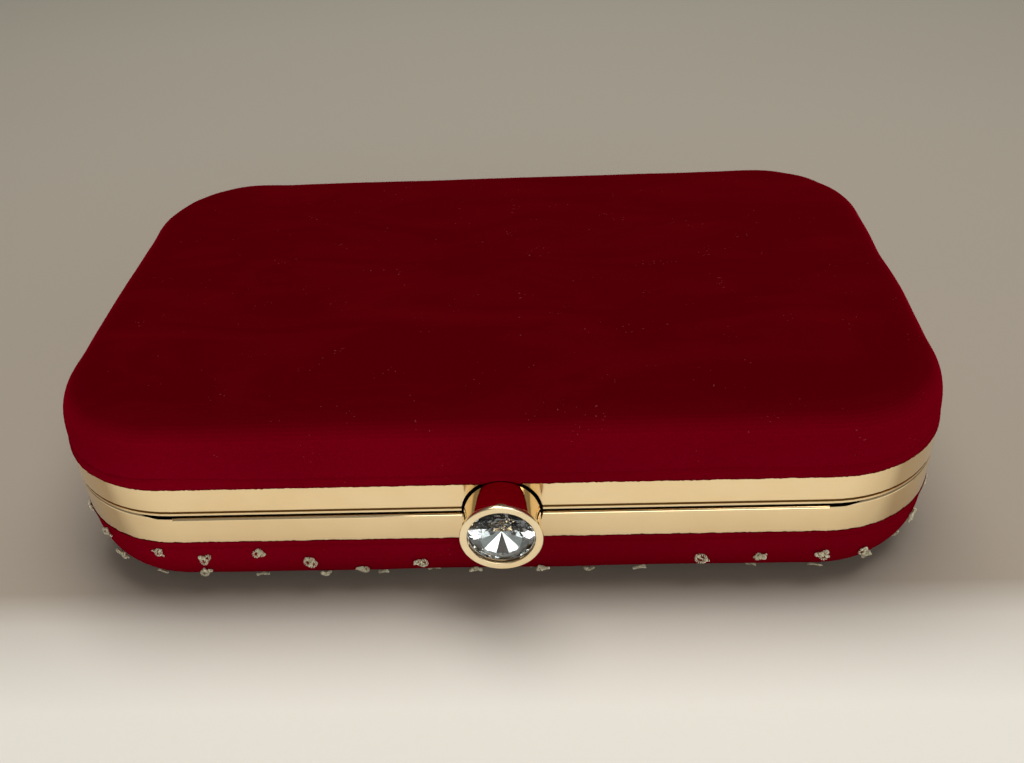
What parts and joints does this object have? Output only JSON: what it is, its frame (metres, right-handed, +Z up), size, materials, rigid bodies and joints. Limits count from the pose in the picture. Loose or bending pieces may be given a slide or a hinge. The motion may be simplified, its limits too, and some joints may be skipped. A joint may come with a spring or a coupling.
{
  "type": "clutch purse",
  "caption": "Velvet-covered box clutch purse: two padded hard half shells in a hinged gold frame, held shut by a push-button clasp with a cut stone.",
  "frame": {"origin": "centre of the closed purse's bounding box in plan, at its lowest point, the tips of the wire knots on the front panel", "axes": "+X along the purse's width, to the right seen from the clasp; +Y from the clasp to the hinge; +Z up through the thickness, from the embroidered front panel to the plain back panel"},
  "size_m": [0.1918, 0.128, 0.0457],
  "materials": {
    "velvet": "deep red velvet with a short dense pile",
    "gold_frame": "polished pale gold plating",
    "shell_plastic": "moulded black plastic",
    "foam_padding": "thin foam wadding",
    "bullion_wire": "coiled pale gold embroidery wire",
    "satin_lining": "champagne satin",
    "steel_parts": "plated steel",
    "brass_bush": "turned brass",
    "crystal": "clear cut glass",
    "mirror_foil": "silver foil backing"
  },
  "bodies": {
    "front_half": {"front_frame": "gold_frame", "front_shell": "shell_plastic", "front_padding": "foam_padding", "front_cover": "velvet", "front_knots": "bullion_wire", "front_lining": "satin_lining", "front_hinge_leaves": "gold_frame", "front_hinge_rivets": "gold_frame", "hinge_pins": "steel_parts", "lock_bracket": "steel_parts", "lock_rivets": "steel_parts", "guide_bush": "brass_bush", "button_spring": "steel_parts"},
    "back_half": {"back_frame": "gold_frame", "back_shell": "shell_plastic", "back_padding": "foam_padding", "back_cover": "velvet", "back_lining": "satin_lining", "back_hinge_leaves": "gold_frame", "back_hinge_rivets": "gold_frame", "striker": "steel_parts", "striker_rivets": "steel_parts"},
    "button": {"button_barrel": "gold_frame", "bezel_ring": "gold_frame", "crystal": "crystal", "crystal_foil": "mirror_foil", "plunger_stem": "steel_parts", "catch_plate": "steel_parts", "retaining_clip": "steel_parts"}
  },
  "joints": [
    {"name": "lid_hinge", "type": "hinge", "parent": "front_half", "child": "back_half", "pos_m": [0, 0.06107, 0.02345], "axis": [-1, 0, 0], "range_deg": [0, 90]},
    {"name": "button_press", "type": "slide", "parent": "front_half", "child": "button", "axis": [0, 1, 0], "range_m": [0, 0.0025], "deforming": ["button_spring"]}
  ]
}
